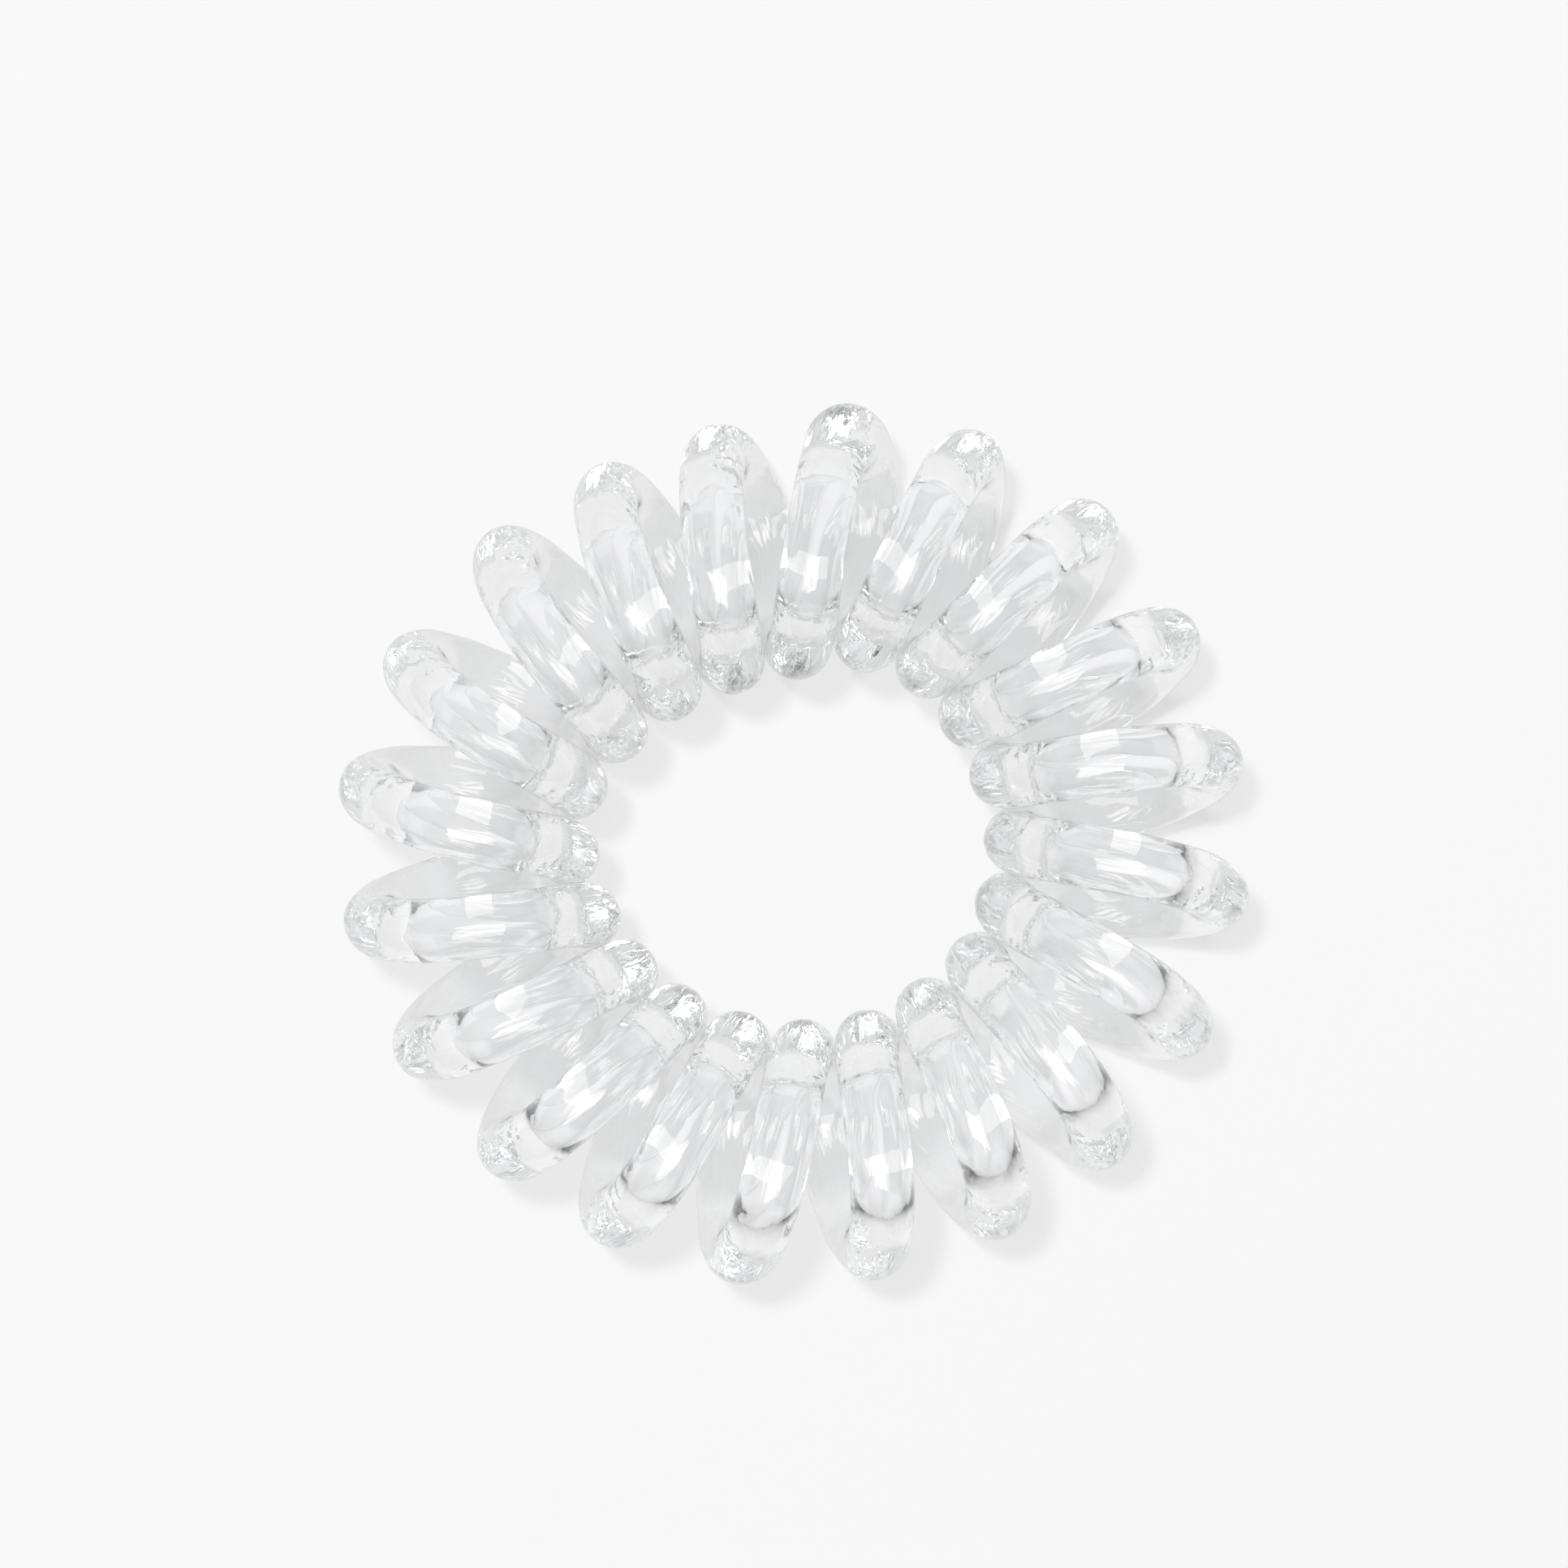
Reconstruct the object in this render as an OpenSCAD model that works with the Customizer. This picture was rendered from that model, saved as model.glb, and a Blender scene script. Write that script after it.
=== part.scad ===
/* [Ring] */
// Width of the oval that the outer turns touch, side to side
ring_w = 39.4; // [34:0.1:60]
// Depth of that oval, front to back
ring_d = 38.0; // [34:0.1:60]

/* [Coil] */
// Width of the coil, from the rim of the hole to the outside of the ring
coil_w = 11.5; // [8:0.1:13]
// Height of the coil as it lies
coil_h = 11.2; // [8:0.1:14]
// Diameter of the cord
cord_d = 2.75; // [1.6:0.05:3.2]
// Least mean gap between neighbouring turns round the hole
turn_gap = 0.08; // [0.08:0.01:1]
// Angle at which the first turn meets the hole, clockwise from the back
first_angle = -19; // [-180:1:180]

/* [Weld] */
// How many turns of cord lie between the first turn's start at the hole and the weld
weld_turns = 1.48; // [0:0.02:8]
// How much the weld adds to the cord's diameter
weld_bulge = 0.45; // [0:0.05:0.8]
// Length of the swelling along the cord
weld_len = 5; // [3:0.5:10]

/* [Hidden] */

// Sides of the cord and rings along each turn
sides = 12;
rings = 20;

// One row for each turn, clockwise from the first, interpolated if the turns are more or fewer.
// reach: the outer end's distance from the middle, as a share of the oval's
// width: the turn's width, as a share of coil_w
// gap: the gap to the next turn at the hole, as a share of the mean gap
// lead: how far the outer end leads the inner, as a share of the step to the next turn
COLUMNS = ["reach", "width", "gap", "lead"];
TURN_SHARES = [
    [0.977, 1.000, 1.20, 0.42],
    [1.004, 1.028, 1.30, 0.37],
    [1.027, 1.005, 0.90, 0.31],
    [1.027, 1.002, 0.70, 0.38],
    [1.010, 1.015, 0.75, 0.46],
    [0.998, 1.010, 1.10, 0.46],
    [0.997, 1.000, 0.75, 0.50],
    [1.003, 1.007, 0.70, 0.56],
    [1.004, 1.000, 1.15, 0.61],
    [0.997, 0.997, 1.50, 0.55],
    [0.995, 0.992, 0.70, 0.52],
    [0.998, 1.009, 0.75, 0.53],
    [0.994, 1.012, 1.60, 0.50],
    [0.994, 1.018, 0.65, 0.43],
    [0.997, 1.028, 0.85, 0.45],
    [1.003, 1.020, 0.65, 0.49],
    [1.008, 0.990, 1.50, 0.55],
    [1.000, 0.965, 0.90, 0.58],
    [0.981, 0.965, 1.25, 0.65],
    [0.970, 0.975, 1.20, 0.56]
];
rows = len(TURN_SHARES);

// Distance from the middle to the oval, at an angle clockwise from the back
function oval(angle) = 1 / norm([2 * sin(angle) / ring_w, 2 * cos(angle) / ring_d]);

function total(list) = list * [for (x = list) 1];

// A column of the table for turn i of n
function share(name, i, n) =
    let (column = search([name], COLUMNS)[0], at = i * rows / n, k = floor(at), f = at - k)
    TURN_SHARES[k % rows][column] * (1 - f) + TURN_SHARES[(k + 1) % rows][column] * f;

// Middle of the cord at the outer end and at the hole, as distances from the ring's middle
function outer(i, n) =
    oval(first_angle + (i + 0.5) * 360 / n) * share("reach", i, n) - cord_d / 2;
function inner(i, n) = outer(i, n) - (coil_w * share("width", i, n) - cord_d);

// Way round the hole along the middle of the cord, with n turns
function way_round(n) = 2 * PI * n / total([for (i = [0 : n - 1]) 1 / inner(i, n)]);

turns = floor(way_round(rows) / (cord_d + turn_gap));
outers = [for (i = [0 : turns - 1]) outer(i, turns)];
inners = [for (i = [0 : turns - 1]) inner(i, turns)];
mean_gap = way_round(turns) / turns - cord_d;

// Each turn has the same length of cord, so one that is wider is lower
tops = [for (i = [0 : turns - 1]) coil_h * (2 - share("width", i, turns)) - cord_d / 2];

// Angle from each turn to the next, before it is fitted to the whole circle
steps = [
    for (i = [0 : turns - 1])
        (cord_d + mean_gap * share("gap", i, turns)) * 2 / (inners[i] + inners[(i + 1) % turns])
];
fit = 360 / total(steps);
starts = [for (i = 0, a = first_angle; i < turns; a = a + fit * steps[i], i = i + 1) a];

// Angles of the cord's inner and outer ends in turn, two for each turn
ends = [
    for (i = [0 : turns - 1], outward = [0, 1])
        starts[i] + outward * share("lead", i, turns) * fit * steps[i]
];
function end_angle(j) =
    let (n = 2 * turns)
    ends[(j + n) % n] + 360 * floor(j / n);

// Smooth value from one end to the next, f running from 0 to 1
function eased(a, b, f) = a + (b - a) * (1 - cos(180 * f)) / 2;
function curved(j, f) =
    let (
        a = end_angle(j),
        b = end_angle(j + 1),
        slope_a = (b - end_angle(j - 1)) / 2,
        slope_b = (end_angle(j + 2) - a) / 2
    )
    a + f * slope_a
        + f * f * (3 * (b - a) - 2 * slope_a - slope_b)
        + f * f * f * (slope_a + slope_b - 2 * (b - a));

// Middle of the cord t turns along, as distance, angle and height
function distance_at(t) =
    let (i = floor(t), f = 2 * (t - i), next = (i + 1) % turns)
    f < 1 ? eased(inners[i], outers[i], f) : eased(outers[i], inners[next], f - 1);
function angle_at(t) = curved(floor(2 * t), 2 * t - floor(2 * t));
function height_at(t) =
    let (top = tops[floor(t + 0.25) % turns], foot = cord_d / 2)
    foot + (top - foot) * (1 + sin(360 * t)) / 2;

// Directions away from the ring's middle, and away from the middle of a turn
function outward(t) = [sin(angle_at(t)), cos(angle_at(t)), 0];
function off_turn(t) = [0, 0, sin(360 * t)] - cos(360 * t) * outward(t);

function wrapped(t) = (t + turns) % turns;
function middle(t) =
    let (s = wrapped(t))
    distance_at(s) * outward(s) + [0, 0, height_at(s)];
function unit(v) = v / norm(v);

// Radius of the cord, which swells at the weld
loop_len = PI * ((coil_w + coil_h) / 2 - cord_d);
function radius(t) =
    let (d = min(abs(t - weld_turns) * loop_len / weld_len, 0.5))
    cord_d / 2 + weld_bulge / 2 * (1 + cos(360 * d)) / 2;

// One ring of points round the cord, its first point on the outside of the turn
function ring(t) =
    let (
        near = 0.25 / rings,
        along = unit(middle(t + near) - middle(t - near)),
        off = off_turn(t),
        up = unit(off - (off * along) * along),
        across = cross(along, up)
    )
    [
        for (k = [0 : sides - 1])
            middle(t) + radius(t) * (up * cos(360 * k / sides) + across * sin(360 * k / sides))
    ];

ring_count = turns * rings;
points = [for (h = [0 : ring_count - 1]) each ring(h / rings)];
function corner(h, k) = (h % ring_count) * sides + k % sides;
faces = [
    for (h = [0 : ring_count - 1], k = [0 : sides - 1])
        each [
            [corner(h, k), corner(h + 1, k + 1), corner(h, k + 1)],
            [corner(h, k), corner(h + 1, k), corner(h + 1, k + 1)]
        ]
];

// The origin is under the middle of the ring's box, on the surface that it lies on
function span(axis) = let (v = [for (p = points) p[axis]]) [min(v), max(v)];
centre = [(span(0)[0] + span(0)[1]) / 2, (span(1)[0] + span(1)[1]) / 2, span(2)[0]];

module coil() {
    color([0.86, 0.88, 0.87, 0.45])
        translate(-centre)
            polyhedron(points, faces);
}

coil();
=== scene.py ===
import math

import bpy
import numpy as np
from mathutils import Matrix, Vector


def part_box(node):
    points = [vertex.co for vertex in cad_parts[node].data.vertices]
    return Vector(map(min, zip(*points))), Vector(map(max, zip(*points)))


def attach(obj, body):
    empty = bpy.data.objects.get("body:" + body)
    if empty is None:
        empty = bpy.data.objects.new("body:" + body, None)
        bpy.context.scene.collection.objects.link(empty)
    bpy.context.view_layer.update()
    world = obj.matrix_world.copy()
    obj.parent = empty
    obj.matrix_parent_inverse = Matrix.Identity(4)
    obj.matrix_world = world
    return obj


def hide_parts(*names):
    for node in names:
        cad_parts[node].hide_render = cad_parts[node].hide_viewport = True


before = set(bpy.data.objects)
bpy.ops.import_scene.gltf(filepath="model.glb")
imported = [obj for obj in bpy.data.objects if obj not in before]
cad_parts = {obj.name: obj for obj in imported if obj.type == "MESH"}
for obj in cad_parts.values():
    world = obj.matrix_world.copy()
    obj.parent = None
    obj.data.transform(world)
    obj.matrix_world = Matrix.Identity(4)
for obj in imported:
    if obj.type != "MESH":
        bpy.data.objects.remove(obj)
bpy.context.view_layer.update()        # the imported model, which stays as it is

MM = 0.001

# Driving sizes, the same as in the solid
RING_W = 39.4 * MM
RING_D = 38.0 * MM
COIL_W = 11.5 * MM
COIL_H = 11.2 * MM
CORD_D = 2.75 * MM
FIRST_ANGLE = -19.0
WELD_BULGE = 0.45 * MM

# One row for each turn, clockwise from the first, the same as in the solid
COLUMNS = ["reach", "width", "gap", "lead"]
TURN_SHARES = np.array([
    [0.977, 1.000, 1.20, 0.42],
    [1.004, 1.028, 1.30, 0.37],
    [1.027, 1.005, 0.90, 0.31],
    [1.027, 1.002, 0.70, 0.38],
    [1.010, 1.015, 0.75, 0.46],
    [0.998, 1.010, 1.10, 0.46],
    [0.997, 1.000, 0.75, 0.50],
    [1.003, 1.007, 0.70, 0.56],
    [1.004, 1.000, 1.15, 0.61],
    [0.997, 0.997, 1.50, 0.55],
    [0.995, 0.992, 0.70, 0.52],
    [0.998, 1.009, 0.75, 0.53],
    [0.994, 1.012, 1.60, 0.50],
    [0.994, 1.018, 0.65, 0.43],
    [0.997, 1.028, 0.85, 0.45],
    [1.003, 1.020, 0.65, 0.49],
    [1.008, 0.990, 1.50, 0.55],
    [1.000, 0.965, 0.90, 0.58],
    [0.981, 0.965, 1.25, 0.65],
    [0.970, 0.975, 1.20, 0.56],
])
TURNS = len(TURN_SHARES)

# Fineness of the shown cord, and the share of a step over which its direction is taken
RINGS_A_TURN = 76
SIDES = 64
NEARBY = 0.25

# The weld where the two ends of the cord were pressed together: it swells, and ends in a crease.
# The places are in turns along the cord.
SWELL_START = 1.36
SWELL_FULL = 1.48
CREASE_TURNS = 1.56
CREASE_W = 0.6 * MM
SEAM_W = 0.01 * MM

# Ripples in the radius: how many waves, their counts along the loop and around the cord, and the height.
# Slight waves are all over. Drawn lines are on the inside and outside of each turn, and crinkles at
# its inner and outer ends, and the fades say how fast they die away from there.
RIPPLE_SEED = 4
SLIGHT_WAVES = (24, (18, 200), (0, 4), 0.012 * MM)
DRAWN_LINES = (120, (20, 220), (5, 16), 0.008 * MM)
LINES_FADE = 1.5
END_CRINKLES = (80, (150, 450), (2, 12), 0.003 * MM)
CRINKLES_FADE = 4

# Clear plastic with a gloss, and slivers that tilt a little: their width, length, and how much
# they tilt along the cord and across it. Those in the gloss are on the upper side. Those that
# light passes through are at the ends of each turn, and tilt least on its underside.
CLEAR_COLOR = (1, 1, 1, 1)
CORD_IOR = 1.5
CORD_ROUGHNESS = 0.003
UP_SLIVERS = (0.16 * MM, 1.2 * MM, (0.05, 0.45))
UP_FADE = 2
END_SLIVERS = (0.22 * MM, 0.7 * MM, (0.20, 0.45))
END_FADE = 6
END_LEAST = 0.7
DEPTH_COLOR = (0.72, 0.74, 0.71, 1)
DEPTH_DENSITY = 20
SHADE_COLOR = (0.94, 0.94, 0.94, 1)

# The floor, whitened to the camera, and through the plastic a paper whose colour holds a painted pool of
# light: darker at the middle, lightest a little way out, and dimming far off. A row holds how much further a
# place is from the middle than it is towards the pool's side, and how light the painted colour is there.
FLOOR_W = 4.0
FLOOR_SEEN = (0.80, 0.80, 0.80, 1)
PAPER_ROUGHNESS = 0.9
PAPER_SHINE = 0.1
PAINTED_POOL_SIDE = 335
PAINTED_POOL = [
    (0 * MM, 0.75),
    (18 * MM, 0.785),
    (34 * MM, 0.835),
    (50 * MM, 0.785),
    (70 * MM, 0.64),
    (100 * MM, 0.46),
    (160 * MM, 0.28),
    (300 * MM, 0.10),
]
PAINTED_POOL_TINT = (1.00, 1.00, 1.012)

# The room: degrees from straight up, the light there towards the back, and towards the front.
# The front's light starts to turn into the back's where the cosine to BACK_SIDE is BACK_FROM.
SKY = [
    (0, 1.00, 1.00),
    (15, 0.85, 0.95),
    (30, 0.85, 0.85),
    (45, 1.05, 1.05),
    (60, 1.10, 0.85),
    (72, 1.00, 0.40),
    (82, 0.85, 0.20),
    (90, 0.85, 0.12),
]
SKY_BACK, SKY_FRONT = 1, 2
SKY_TINT = (0.98, 1.00, 1.03)
BACK_SIDE = 10
BACK_FROM = -0.5

# Softbox in front, and a lamp at the back left for the shadow that doesn't show in the plastic
BOX_SIZE = (0.54, 0.38)
BOX_FAR = 0.80
BOX_TILT, BOX_SIDE = 25, 182
BOX_GLOW = 4
BOX_TINT = (1.00, 0.985, 0.96)
LAMP_SIZE = (0.30, 0.30)
LAMP_FAR = 3.0
LAMP_TILT, LAMP_SIDE = 14, 320
LAMP_GLOW = 484
LAMP_TINT = (1.00, 1.00, 1.00)

# Times that light may turn on its way
LIGHT_STEPS = 96

# Sockets of the node that mixes two colours
COLOR_SOCKETS = (6, 7)
COLOR_RESULT = 2

# The camera looks straight down, as the photograph does, and up in the picture is the back
PHOTO_PX = 1932
PX_A_MM = 28.6
COIL_MIDDLE_PX = (978, 1040)
CAMERA_FAR = 450 * MM
SENSOR = 36


def share(name):
    return TURN_SHARES[:, COLUMNS.index(name)]


def lay_out_turns():
    """Distances of the inner and outer ends, heights of the tops, and the angles of all the ends."""
    angle = np.radians(FIRST_ANGLE + (np.arange(TURNS) + 0.5) * 360 / TURNS)
    oval = 1 / np.hypot(2 * np.sin(angle) / RING_W, 2 * np.cos(angle) / RING_D)
    outers = oval * share("reach") - CORD_D / 2
    inners = outers - (COIL_W * share("width") - CORD_D)
    tops = COIL_H * (2 - share("width")) - CORD_D / 2
    mean_gap = 2 * math.pi / np.sum(1 / inners) - CORD_D
    steps = (CORD_D + mean_gap * share("gap")) * 2 / (inners + np.roll(inners, -1))
    steps *= 360 / steps.sum()
    starts = FIRST_ANGLE + np.concatenate([[0], np.cumsum(steps)[:-1]])
    ends = np.column_stack([starts, starts + share("lead") * steps]).ravel()
    return inners, outers, tops, ends


INNERS, OUTERS, TOPS, ENDS = lay_out_turns()


def end_angle(j):
    return ENDS[j % len(ENDS)] + 360 * (j // len(ENDS))


def angle_at(t):
    """Angle clockwise from the back, t turns along the cord."""
    j = np.floor(2 * t).astype(int)
    f = 2 * t - j
    a, b = end_angle(j), end_angle(j + 1)
    slope_a = (b - end_angle(j - 1)) / 2
    slope_b = (end_angle(j + 2) - a) / 2
    curve = f**2 * (3 * (b - a) - 2 * slope_a - slope_b) + f**3 * (slope_a + slope_b - 2 * (b - a))
    return np.radians(a + f * slope_a + curve)


def outward(t):
    angle = angle_at(t)
    return np.column_stack([np.sin(angle), np.cos(angle), np.zeros_like(angle)])


def middle(t):
    """Middle of the cord, t turns along it."""
    turn = np.floor(t).astype(int)
    half = np.floor(2 * t).astype(int)
    f = (1 - np.cos(math.pi * (2 * t - half))) / 2
    going_out = half % 2 == 0
    a = np.where(going_out, INNERS[turn % TURNS], OUTERS[turn % TURNS])
    b = np.where(going_out, OUTERS[turn % TURNS], INNERS[(turn + 1) % TURNS])
    top = TOPS[np.floor(t + 0.25).astype(int) % TURNS]
    foot = CORD_D / 2
    height = foot + (top - foot) * (1 + np.sin(2 * math.pi * t)) / 2
    return (a + (b - a) * f)[:, None] * outward(t) + height[:, None] * [0, 0, 1]


# Length of the cord, measured along its middle
STEPS = np.arange(TURNS * RINGS_A_TURN) / RINGS_A_TURN
PATH = middle(STEPS)
CORD_LEN = np.linalg.norm(np.roll(PATH, -1, axis=0) - PATH, axis=1).sum()
TURN_LEN = CORD_LEN / TURNS


def eased(x):
    x = np.clip(x, 0, 1)
    return x * x * (3 - 2 * x)


def swelling(t):
    """Extra radius at the weld, which fades in along the cord and ends sharply at the crease."""
    fading_in = eased((t - SWELL_START) / (SWELL_FULL - SWELL_START))
    fading_out = eased((t - CREASE_TURNS) * TURN_LEN / CREASE_W)
    return WELD_BULGE / 2 * fading_in * (1 - fading_out)


def near_ends(t, fade):
    """Share that is whole at the inner and outer ends of each turn, and nothing at its top and foot."""
    return np.abs(np.cos(2 * math.pi * t))**fade


def ripples(rng, kind, t, around):
    """A sum of random waves, with whole counts, so that the loop closes."""
    count, along_range, around_range, height = kind
    out = np.zeros(np.broadcast(t, around).shape)
    for _ in range(count):
        along = rng.integers(*along_range)
        about = rng.integers(*around_range) * rng.choice((-1, 1))
        shift = rng.uniform(0, 2 * math.pi)
        out += np.sin(2 * math.pi * along * t / TURNS + about * around + shift)
    return out * height / math.sqrt(count)


def unevenness(t, around):
    """Slight waves in the radius, drawn lines that fade out on the flanks, and crinkles at the ends."""
    rng = np.random.default_rng(RIPPLE_SEED)
    waves = ripples(rng, SLIGHT_WAVES, t, around)
    lines = np.abs(np.cos(around))**LINES_FADE * ripples(rng, DRAWN_LINES, t, around)
    crinkles = near_ends(t, CRINKLES_FADE) * ripples(rng, END_CRINKLES, t, around)
    return waves + lines + crinkles


def cord_mesh():
    """Points of the cord, four-sided faces, and marks on the points.

    The marks are a point's place on a straightened cord, the way along it, and how much the
    slivers in the gloss and those at the ends tilt there.
    """
    run = np.append(STEPS, TURNS - SEAM_W / TURN_LEN)
    count = len(run)
    t = (CREASE_TURNS + run) % TURNS
    near = NEARBY / RINGS_A_TURN
    along = middle((t + near) % TURNS) - middle((t - near) % TURNS)
    along /= np.linalg.norm(along, axis=1)[:, None]
    off = np.sin(2 * math.pi * t)[:, None] * [0, 0, 1] - np.cos(2 * math.pi * t)[:, None] * outward(t)
    off -= np.sum(off * along, axis=1)[:, None] * along
    off /= np.linalg.norm(off, axis=1)[:, None]
    across = np.cross(along, off)
    around = 2 * math.pi * np.arange(SIDES) / SIDES
    radius = CORD_D / 2 + swelling(t)[:, None] + unevenness(t[:, None], around[None, :])
    spoke = off[:, None] * np.cos(around)[None, :, None] + across[:, None] * np.sin(around)[None, :, None]
    points = middle(t)[:, None] + radius[..., None] * spoke

    h, k = np.meshgrid(np.arange(count) * SIDES, np.arange(SIDES), indexing="ij")
    h_next, k_next = (h + SIDES) % (count * SIDES), (k + 1) % SIDES
    faces = np.stack([h + k, h + k_next, h_next + k_next, h_next + k], axis=-1)

    length = np.broadcast_to((run * TURN_LEN)[:, None], radius.shape)
    up_share = ((1 + spoke[..., 2:]) / 2)**UP_FADE
    end_share = near_ends(t[:, None, None], END_FADE) * np.maximum(up_share, END_LEAST)
    marks = {
        "cord_place": np.stack([radius * np.cos(around), radius * np.sin(around), length], axis=-1),
        "cord_way": np.broadcast_to(along[:, None, :], points.shape),
        "up_share": np.broadcast_to(up_share, points.shape),
        "end_share": np.broadcast_to(end_share, points.shape),
    }
    return points.reshape(-1, 3), faces.reshape(-1, 4), marks


def make_cord():
    """The shown cord, placed in the solid's box and on the same surface."""
    points, faces, marks = cord_mesh()
    low, high = (np.array(corner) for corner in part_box("coil"))
    middle_now = (points.min(axis=0) + points.max(axis=0)) / 2
    shift = (low + high) / 2 - middle_now
    shift[2] = low[2] - points[:, 2].min()
    mesh = bpy.data.meshes.new("clear_coil")
    mesh.from_pydata((points + shift).tolist(), [], faces.tolist())
    mesh.shade_smooth()
    for name, values in marks.items():
        mesh.attributes.new(name, "FLOAT_VECTOR", "POINT").data.foreach_set("vector", values.ravel())
    coil = bpy.data.objects.new("clear_coil", mesh)
    bpy.context.scene.collection.objects.link(coil)
    return coil


def add_node(tree, kind, inputs=None, **settings):
    """Add a node with its settings; its inputs are values, or other nodes' outputs."""
    node = tree.nodes.new("ShaderNode" + kind)
    for name, value in settings.items():
        setattr(node, name, value)
    for name, value in (inputs or {}).items():
        if isinstance(value, bpy.types.NodeSocket):
            tree.links.new(value, node.inputs[name])
        else:
            node.inputs[name].default_value = value
    return node


def number(tree, operation, *values, kind="Math"):
    """A number worked out from numbers, or from vectors where the kind is VectorMath."""
    return add_node(tree, kind, dict(enumerate(values)), operation=operation).outputs["Value"]


def vector(tree, operation, *values):
    """A vector worked out from vectors."""
    return add_node(tree, "VectorMath", dict(enumerate(values)), operation=operation).outputs["Vector"]


def scaled(tree, axis, amount):
    """A vector times a number."""
    step = add_node(tree, "VectorMath", {0: axis, "Scale": amount}, operation="SCALE")
    return step.outputs["Vector"]


def mixed(tree, factor, first, second):
    """A colour between two."""
    mix = add_node(tree, "Mix", data_type="RGBA", inputs={"Factor": factor})
    for socket, color in zip(COLOR_SOCKETS, (first, second)):
        if isinstance(color, bpy.types.NodeSocket):
            tree.links.new(color, mix.inputs[socket])
        else:
            mix.inputs[socket].default_value = color
    return mix.outputs[COLOR_RESULT]


def mixed_shaders(tree, factor, first, second):
    """A surface between two."""
    return add_node(tree, "MixShader", {0: factor, 1: first, 2: second}).outputs["Shader"]


def tinted(rows, column, tint):
    """Rows of a value and a colour, from a column that holds the lightness and a tint."""
    return [(row[0], [row[column] * part for part in tint]) for row in rows]


def graded(tree, value, rows):
    """A colour by a value, through rows that hold the value and the colour there."""
    span = rows[-1][0]
    ramp = add_node(tree, "ValToRGB", {"Fac": number(tree, "DIVIDE", value, span)})
    stops = ramp.color_ramp.elements
    stops.remove(stops[1])
    stops[0].position = rows[0][0] / span
    stops[0].color = (*rows[0][1], 1)
    for at, color in rows[1:]:
        stops.new(at / span).color = (*color, 1)
    return ramp.outputs["Color"]


def new_material(name):
    material = bpy.data.materials.new(name)
    material.use_nodes = True
    tree = material.node_tree
    return material, tree, tree.nodes["Principled BSDF"], tree.nodes["Material Output"]


def slivers(tree, strength_mark, width, length, tilts):
    """Normals of narrow slivers along the cord, which tilt as much as the mark says."""
    place, way, strength = (
        add_node(tree, "Attribute", attribute_name=name).outputs["Vector"]
        for name in ("cord_place", "cord_way", strength_mark)
    )
    stretch = (1 / width, 1 / width, 1 / length)
    stretched = add_node(tree, "Mapping", {"Vector": place, "Scale": stretch}).outputs["Vector"]
    chance = add_node(tree, "TexVoronoi", {"Vector": stretched, "Scale": 1}).outputs["Color"]
    centred = vector(tree, "SUBTRACT", chance, (0.5, 0.5, 0.5))
    parts = add_node(tree, "SeparateXYZ", {"Vector": centred}).outputs
    normal = add_node(tree, "NewGeometry").outputs["Normal"]
    to_world = {"vector_type": "VECTOR", "convert_from": "OBJECT", "convert_to": "WORLD"}
    along = add_node(tree, "VectorTransform", {"Vector": way}, **to_world).outputs["Vector"]
    across = vector(tree, "CROSS_PRODUCT", normal, along)
    for part, axis, tilt in zip(parts, (along, across), tilts):
        lean = number(tree, "MULTIPLY", number(tree, "MULTIPLY", part, tilt), strength)
        normal = vector(tree, "ADD", normal, scaled(tree, axis, lean))
    return vector(tree, "NORMALIZE", normal)


def clear_plastic():
    """Clear soft plastic with slivers in it and its gloss, faintly grey in its depth, with a thin shadow."""
    material, tree, glass, out = new_material("clear_plastic")
    glass.inputs["Base Color"].default_value = CLEAR_COLOR
    glass.inputs["Transmission Weight"].default_value = 1
    glass.inputs["IOR"].default_value = CORD_IOR
    glass.inputs["Roughness"].default_value = CORD_ROUGHNESS
    tree.links.new(slivers(tree, "end_share", *END_SLIVERS), glass.inputs["Normal"])

    # A gloss on the outside alone, over the clear plastic
    upward = slivers(tree, "up_share", *UP_SLIVERS)
    gloss = add_node(tree, "BsdfGlossy", {"Roughness": CORD_ROUGHNESS, "Normal": upward}).outputs["BSDF"]
    shine = add_node(tree, "Fresnel", {"IOR": CORD_IOR, "Normal": upward}).outputs["Fac"]
    outside = number(tree, "SUBTRACT", 1, add_node(tree, "NewGeometry").outputs["Backfacing"])
    body = mixed_shaders(tree, number(tree, "MULTIPLY", shine, outside), glass.outputs["BSDF"], gloss)

    depth = add_node(tree, "VolumeAbsorption", {"Color": DEPTH_COLOR, "Density": DEPTH_DENSITY})
    shade = add_node(tree, "BsdfTransparent", {"Color": SHADE_COLOR}).outputs["BSDF"]
    for_shadow = add_node(tree, "LightPath").outputs["Is Shadow Ray"]
    tree.links.new(mixed_shaders(tree, for_shadow, body, shade), out.inputs["Surface"])
    tree.links.new(depth.outputs["Volume"], out.inputs["Volume"])
    return material


def direction(tilt, side):
    """Unit vector at so many degrees from straight up, and clockwise from the back."""
    tilt, side = math.radians(tilt), math.radians(side)
    return Vector((math.sin(tilt) * math.sin(side), math.sin(tilt) * math.cos(side), math.cos(tilt)))


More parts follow.
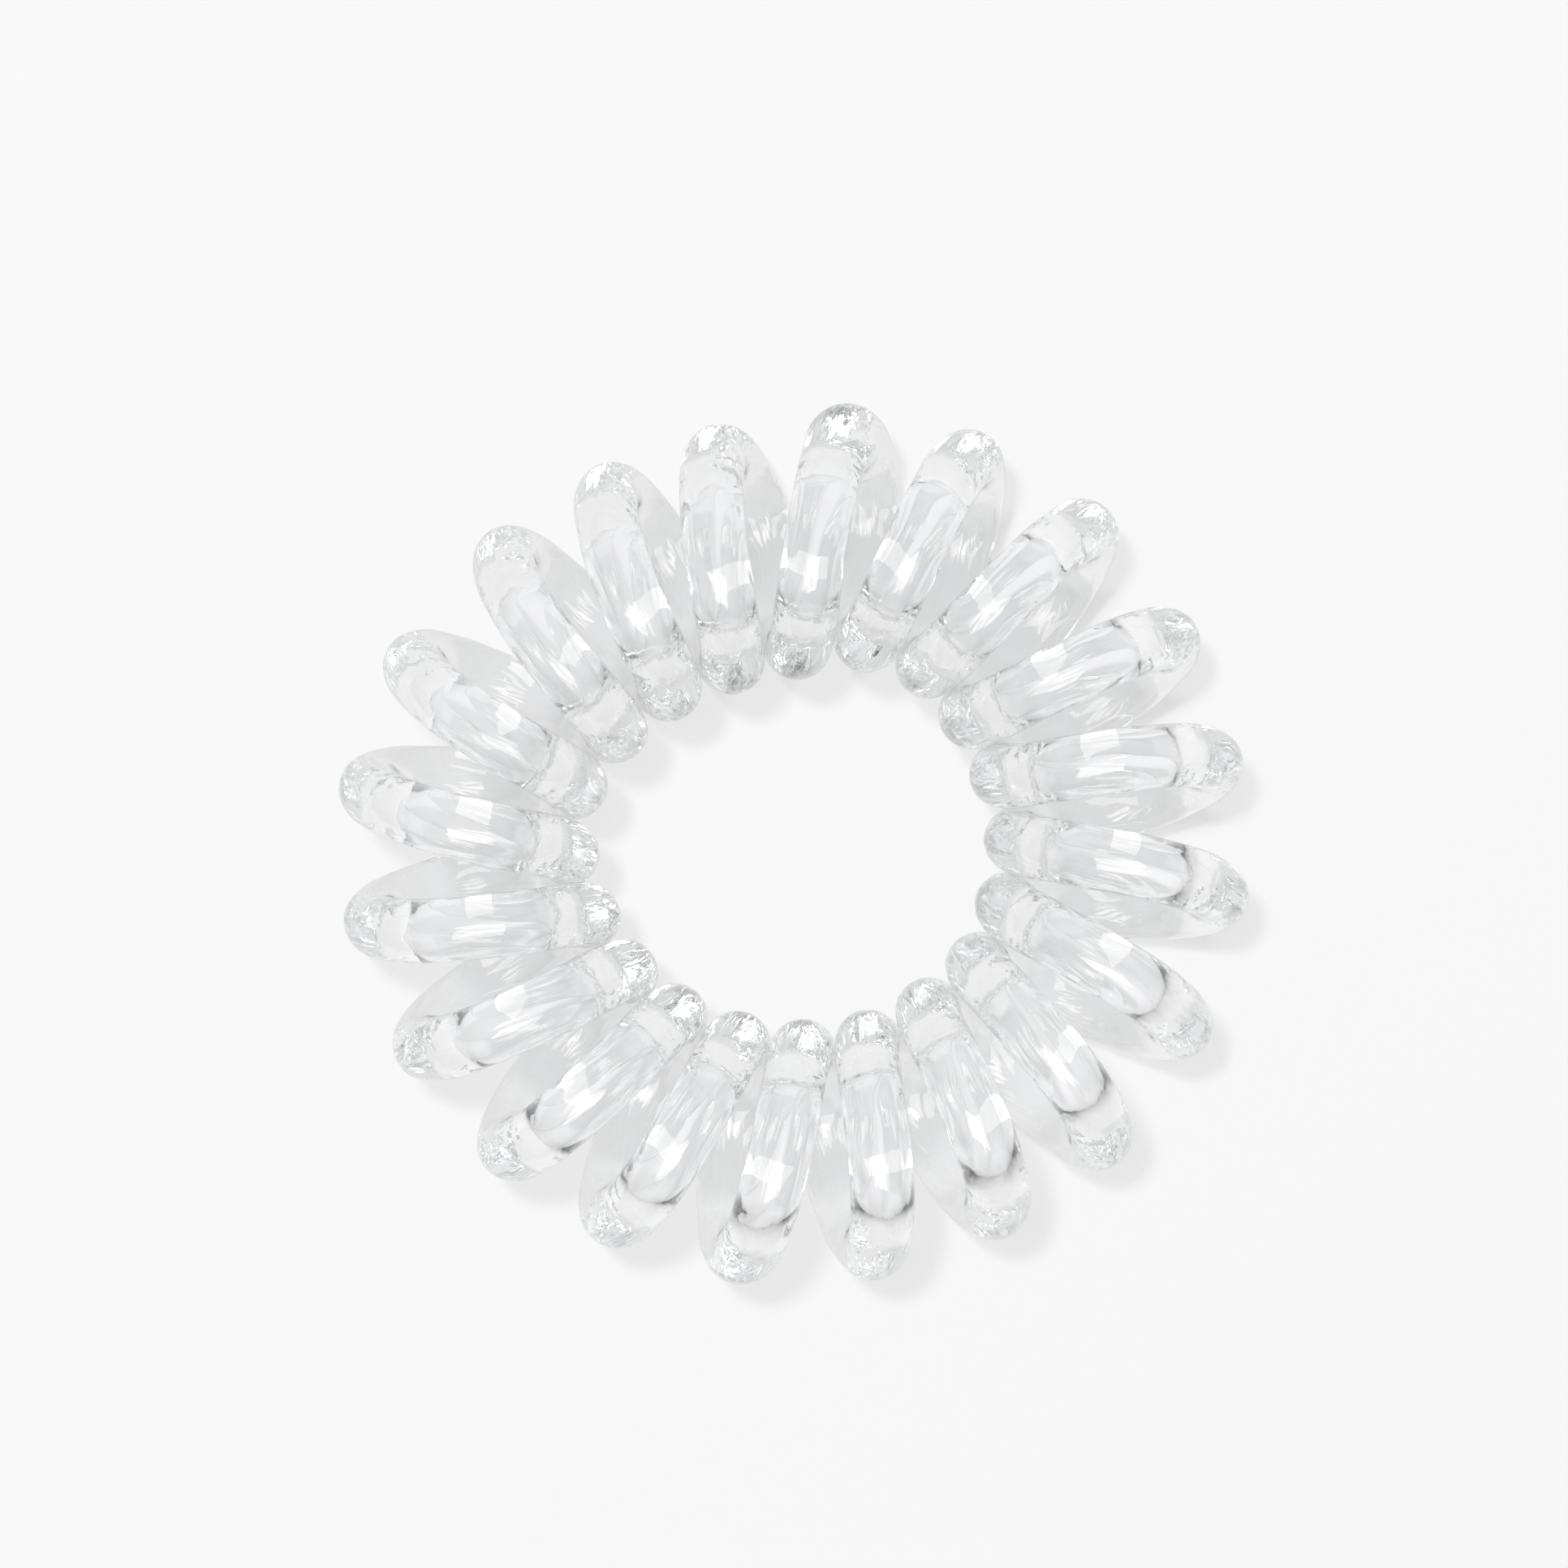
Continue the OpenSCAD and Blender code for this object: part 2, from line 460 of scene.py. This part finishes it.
def paper():
    """White paper: whitened where the camera sees it bare; through the plastic its colour holds a painted
    pool of light.
    """
    material, tree, sheet, _ = new_material("paper")
    sheet.inputs["Roughness"].default_value = PAPER_ROUGHNESS
    sheet.inputs["Specular IOR Level"].default_value = PAPER_SHINE
    place = add_node(tree, "TexCoord").outputs["Object"]
    reach = number(tree, "LENGTH", place, kind="VectorMath")
    backward = number(tree, "DOT_PRODUCT", place, direction(90, PAINTED_POOL_SIDE), kind="VectorMath")
    # Painted pool of light in the paper's colour, darker at the middle, where the coil's shade falls
    painted_pool = graded(tree, number(tree, "SUBTRACT", reach, backward), tinted(PAINTED_POOL, 1, PAINTED_POOL_TINT))
    seen_bare = add_node(tree, "LightPath").outputs["Is Camera Ray"]
    tree.links.new(mixed(tree, seen_bare, painted_pool, FLOOR_SEEN), sheet.inputs["Base Color"])
    return material


def make_floor(material):
    half = FLOOR_W / 2
    corners = [(-half, -half, 0), (half, -half, 0), (half, half, 0), (-half, half, 0)]
    mesh = bpy.data.meshes.new("floor")
    mesh.from_pydata(corners, [], [(0, 1, 2, 3)])
    mesh.materials.append(material)
    floor = bpy.data.objects.new("floor", mesh)
    bpy.context.scene.collection.objects.link(floor)


def make_room():
    """Light from all round, which depends on the height above the horizon and on the side."""
    world = bpy.data.worlds.new("room")
    world.use_nodes = True
    bpy.context.scene.world = world
    world.cycles_visibility.diffuse = False
    tree = world.node_tree
    way = add_node(tree, "TexCoord").outputs["Generated"]
    up = add_node(tree, "SeparateXYZ", {"Vector": way}).outputs["Z"]
    degrees = number(tree, "DEGREES", number(tree, "ARCCOSINE", up))
    level = vector(tree, "NORMALIZE", vector(tree, "MULTIPLY", way, (1, 1, 0)))
    backward = number(tree, "DOT_PRODUCT", level, direction(90, BACK_SIDE), kind="VectorMath")
    share_back = add_node(tree, "MapRange", {"Value": backward, "From Min": BACK_FROM})
    front, back = (
        graded(tree, degrees, tinted(SKY, column, SKY_TINT))
        for column in (SKY_FRONT, SKY_BACK)
    )
    color = mixed(tree, share_back.outputs["Result"], front, back)
    tree.links.new(color, tree.nodes["Background"].inputs["Color"])


def make_lamp(name, size, far, tilt, side, glow, tint, in_plastic):
    """A lamp that faces the coil: a box that shows in the plastic, or a round one that lights the paper."""
    lamp = bpy.data.lights.new(name, "AREA")
    lamp.shape = "RECTANGLE" if in_plastic else "ELLIPSE"
    lamp.size, lamp.size_y = size
    lamp.color = tint
    lamp.energy = glow * math.pi * size[0] * size[1] * (1 if in_plastic else math.pi / 4)
    lamp.cycles.use_multiple_importance_sampling = in_plastic
    obj = bpy.data.objects.new(name, lamp)
    aim = direction(tilt, side)
    obj.location = aim * far
    obj.rotation_euler = aim.to_track_quat("Z", "Y").to_euler()
    obj.visible_glossy = obj.visible_transmission = in_plastic
    obj.visible_diffuse = not in_plastic
    bpy.context.scene.collection.objects.link(obj)


def make_camera():
    """The camera looks straight down from over the middle of the picture."""
    picture_middle = PHOTO_PX / 2
    camera = bpy.data.cameras.new("camera")
    camera.sensor_width = SENSOR
    camera.lens = SENSOR * CAMERA_FAR / (PHOTO_PX / PX_A_MM * MM)
    obj = bpy.data.objects.new("camera", camera)
    across = (picture_middle - COIL_MIDDLE_PX[0]) / PX_A_MM * MM
    back = (COIL_MIDDLE_PX[1] - picture_middle) / PX_A_MM * MM
    obj.location = (across, back, CAMERA_FAR + COIL_H / 2)
    bpy.context.scene.collection.objects.link(obj)
    bpy.context.scene.camera = obj


def set_light_paths():
    """Clear plastic turns light many times, and casts a thin shadow with no bright patches in it."""
    cycles = bpy.context.scene.cycles
    cycles.max_bounces = cycles.glossy_bounces = cycles.transmission_bounces = LIGHT_STEPS
    cycles.transparent_max_bounces = LIGHT_STEPS
    cycles.caustics_reflective = cycles.caustics_refractive = False
    bpy.context.scene.view_settings.view_transform = "Standard"


make_camera()
coil = make_cord()
coil.data.materials.append(clear_plastic())
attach(coil, "root")
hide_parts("coil")
make_floor(paper())
make_room()
make_lamp("softbox", BOX_SIZE, BOX_FAR, BOX_TILT, BOX_SIDE, BOX_GLOW, BOX_TINT, True)
make_lamp("shadow_lamp", LAMP_SIZE, LAMP_FAR, LAMP_TILT, LAMP_SIDE, LAMP_GLOW, LAMP_TINT, False)
set_light_paths()
